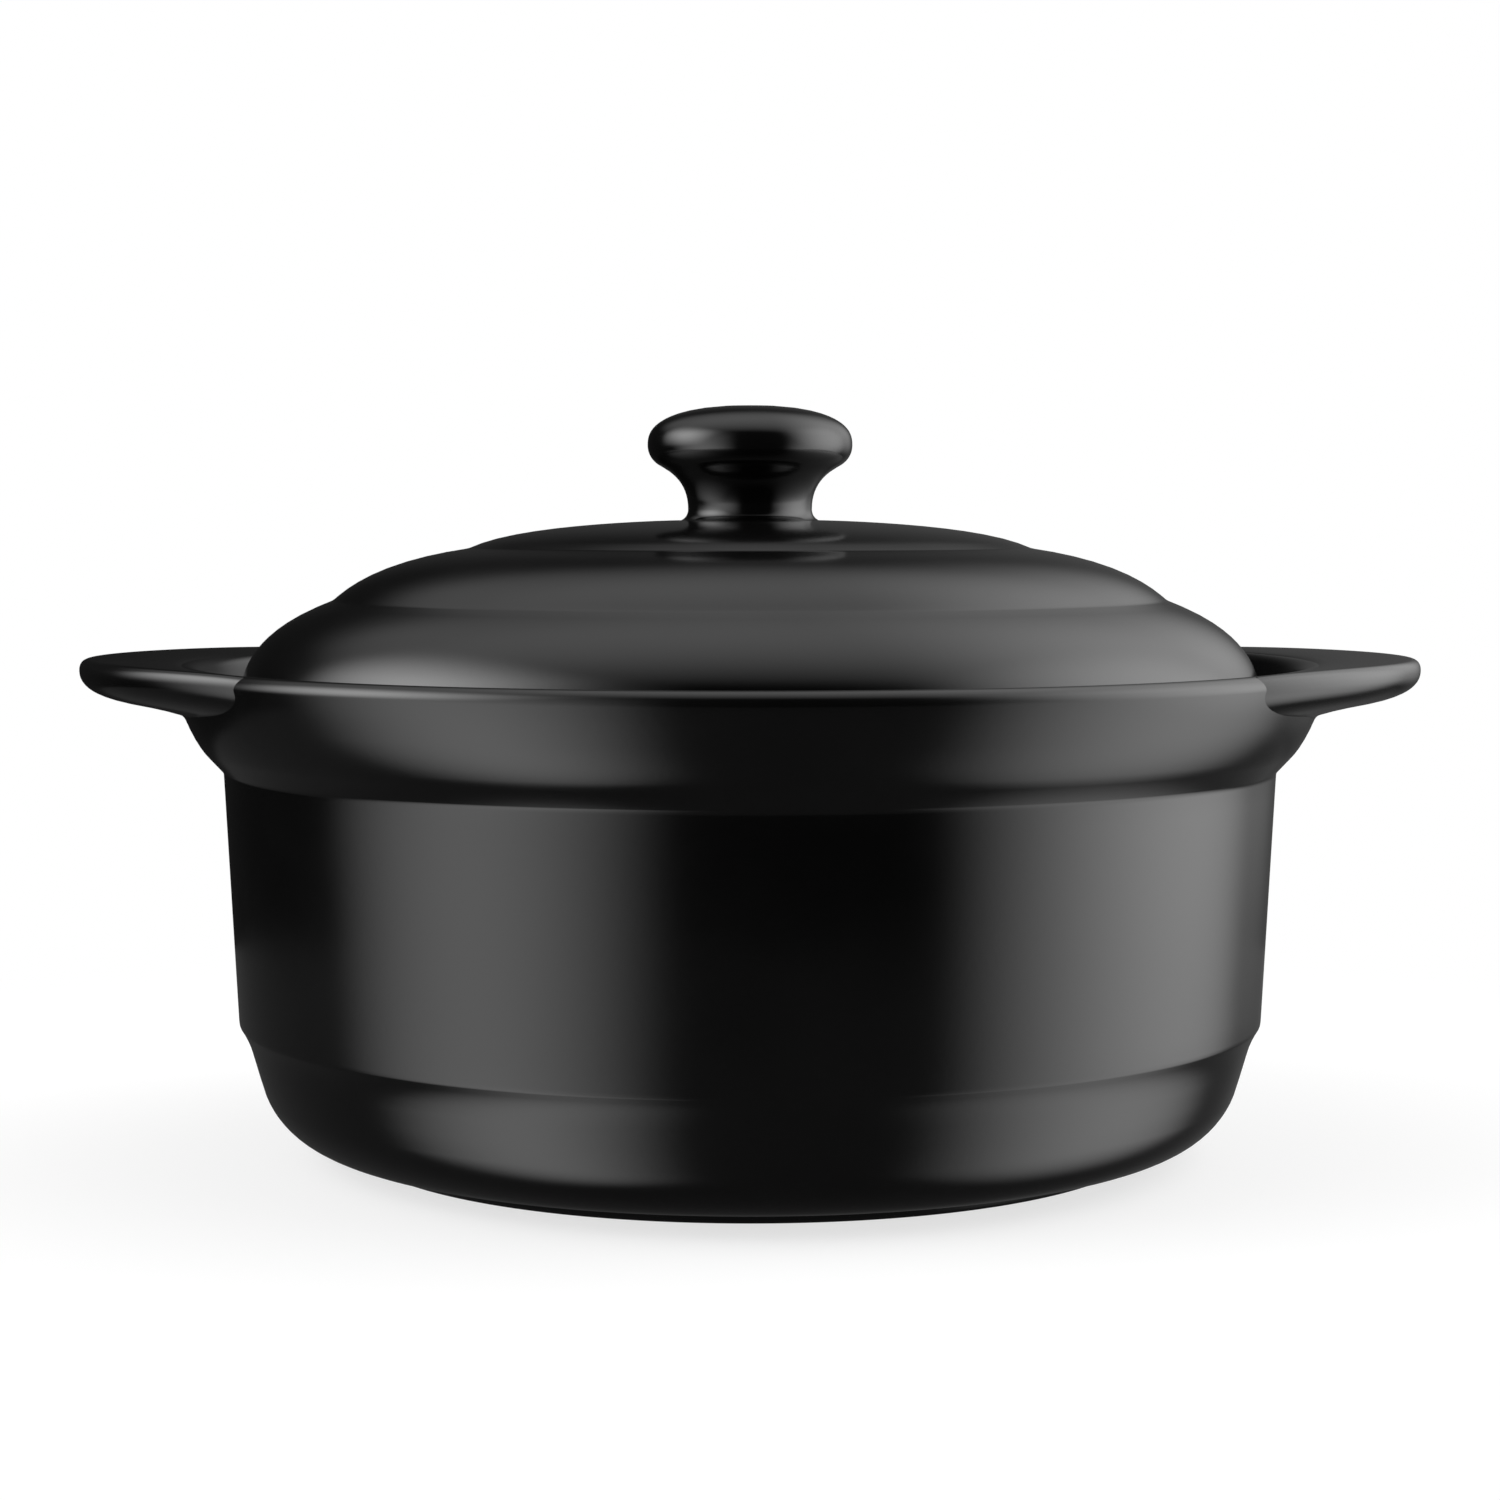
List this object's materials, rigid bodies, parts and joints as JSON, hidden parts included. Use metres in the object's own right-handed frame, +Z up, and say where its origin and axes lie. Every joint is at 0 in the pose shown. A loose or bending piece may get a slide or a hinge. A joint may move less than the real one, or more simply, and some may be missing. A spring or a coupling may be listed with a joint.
{
  "type": "ceramic casserole pot",
  "caption": "Black glazed ceramic casserole: round tapered pot with foot ring, flared flange and crescent lug handles, and a stepped domed lid with a knob that lifts off.",
  "frame": {"origin": "centre of the foot ring, on the surface the pot stands on", "axes": "+X towards the right handle, +Y to the back, +Z up along the axis of the pot"},
  "size_m": [0.2866, 0.2456, 0.1598],
  "materials": {
    "pot_glaze": "satin black glaze",
    "handle_glaze": "satin black glaze",
    "lid_glaze": "satin black glaze",
    "knob_glaze": "glossy black glaze"
  },
  "bodies": {
    "pot": {"pot_body": "pot_glaze", "handle_left": "handle_glaze", "handle_right": "handle_glaze"},
    "lid": {"lid": "lid_glaze", "lid_knob": "knob_glaze"}
  },
  "joints": [
    {"name": "lid_lift", "type": "slide", "parent": "pot", "child": "lid", "axis": [0, 0, 1], "range_m": [0, 0.12]}
  ]
}
